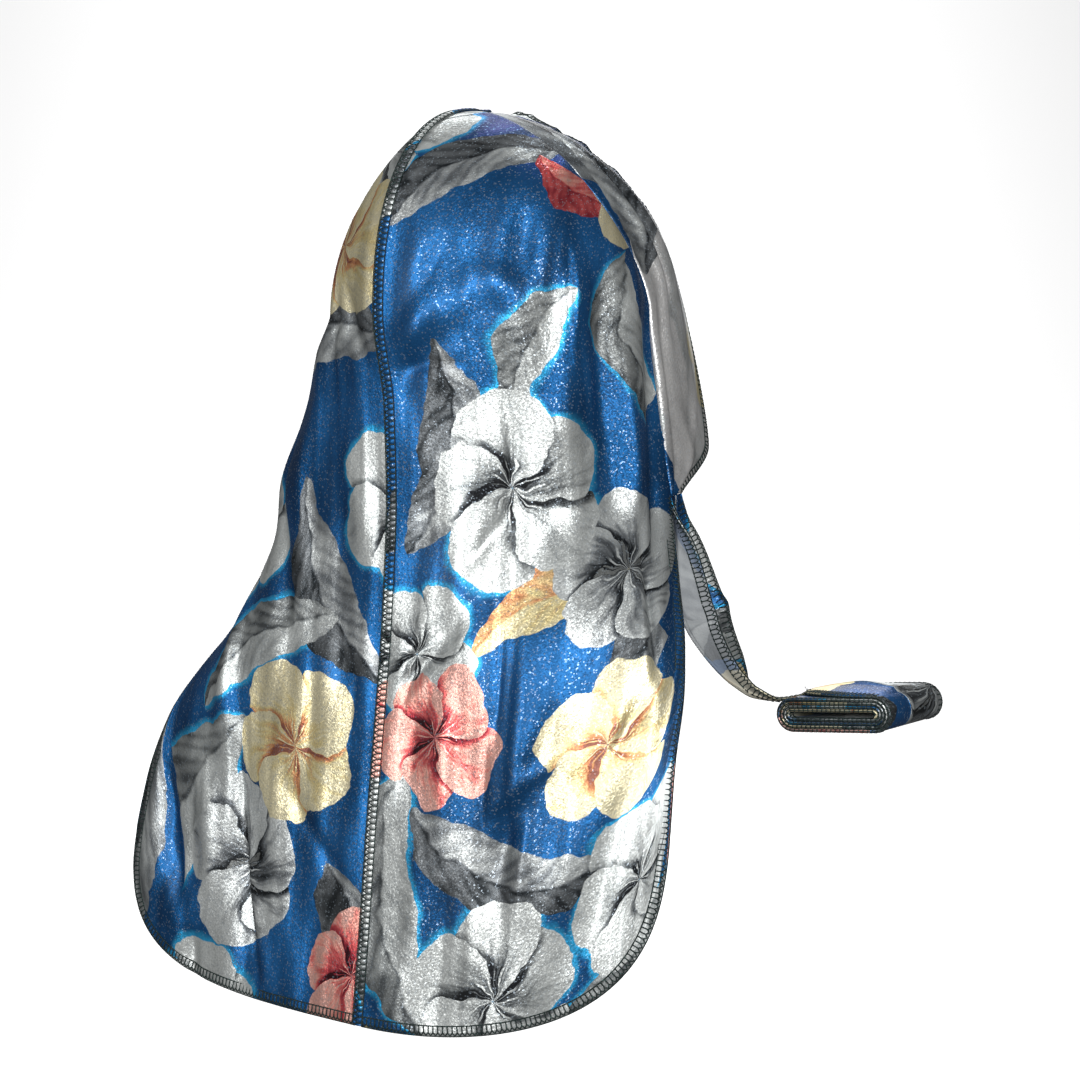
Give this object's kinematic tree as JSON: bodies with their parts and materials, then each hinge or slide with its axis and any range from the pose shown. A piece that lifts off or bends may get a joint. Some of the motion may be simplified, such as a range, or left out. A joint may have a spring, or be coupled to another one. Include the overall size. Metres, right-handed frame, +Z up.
{
  "type": "durag",
  "caption": "Printed velvet durag as worn: close crown with a centre back seam, front band, long flared tail and two wide ties wound into flat rolls.",
  "frame": {"origin": "top of the crown, where the wearer's head carries the cloth", "axes": "+Z up, the face looks along -Y, the tail hangs at +Y, the wearer's left is +X"},
  "size_m": [0.3955, 0.2439, 0.4597],
  "materials": {
    "printed_velvet": "satin",
    "band_velvet": "satin",
    "tie_velvet": "satin",
    "seam_thread": "matte"
  },
  "bodies": {
    "root": {"panel_right": "printed_velvet", "panel_left": "printed_velvet", "center_seam": "seam_thread", "front_band": "band_velvet", "tie_right": "tie_velvet", "tie_left": "tie_velvet"}
  },
  "joints": []
}
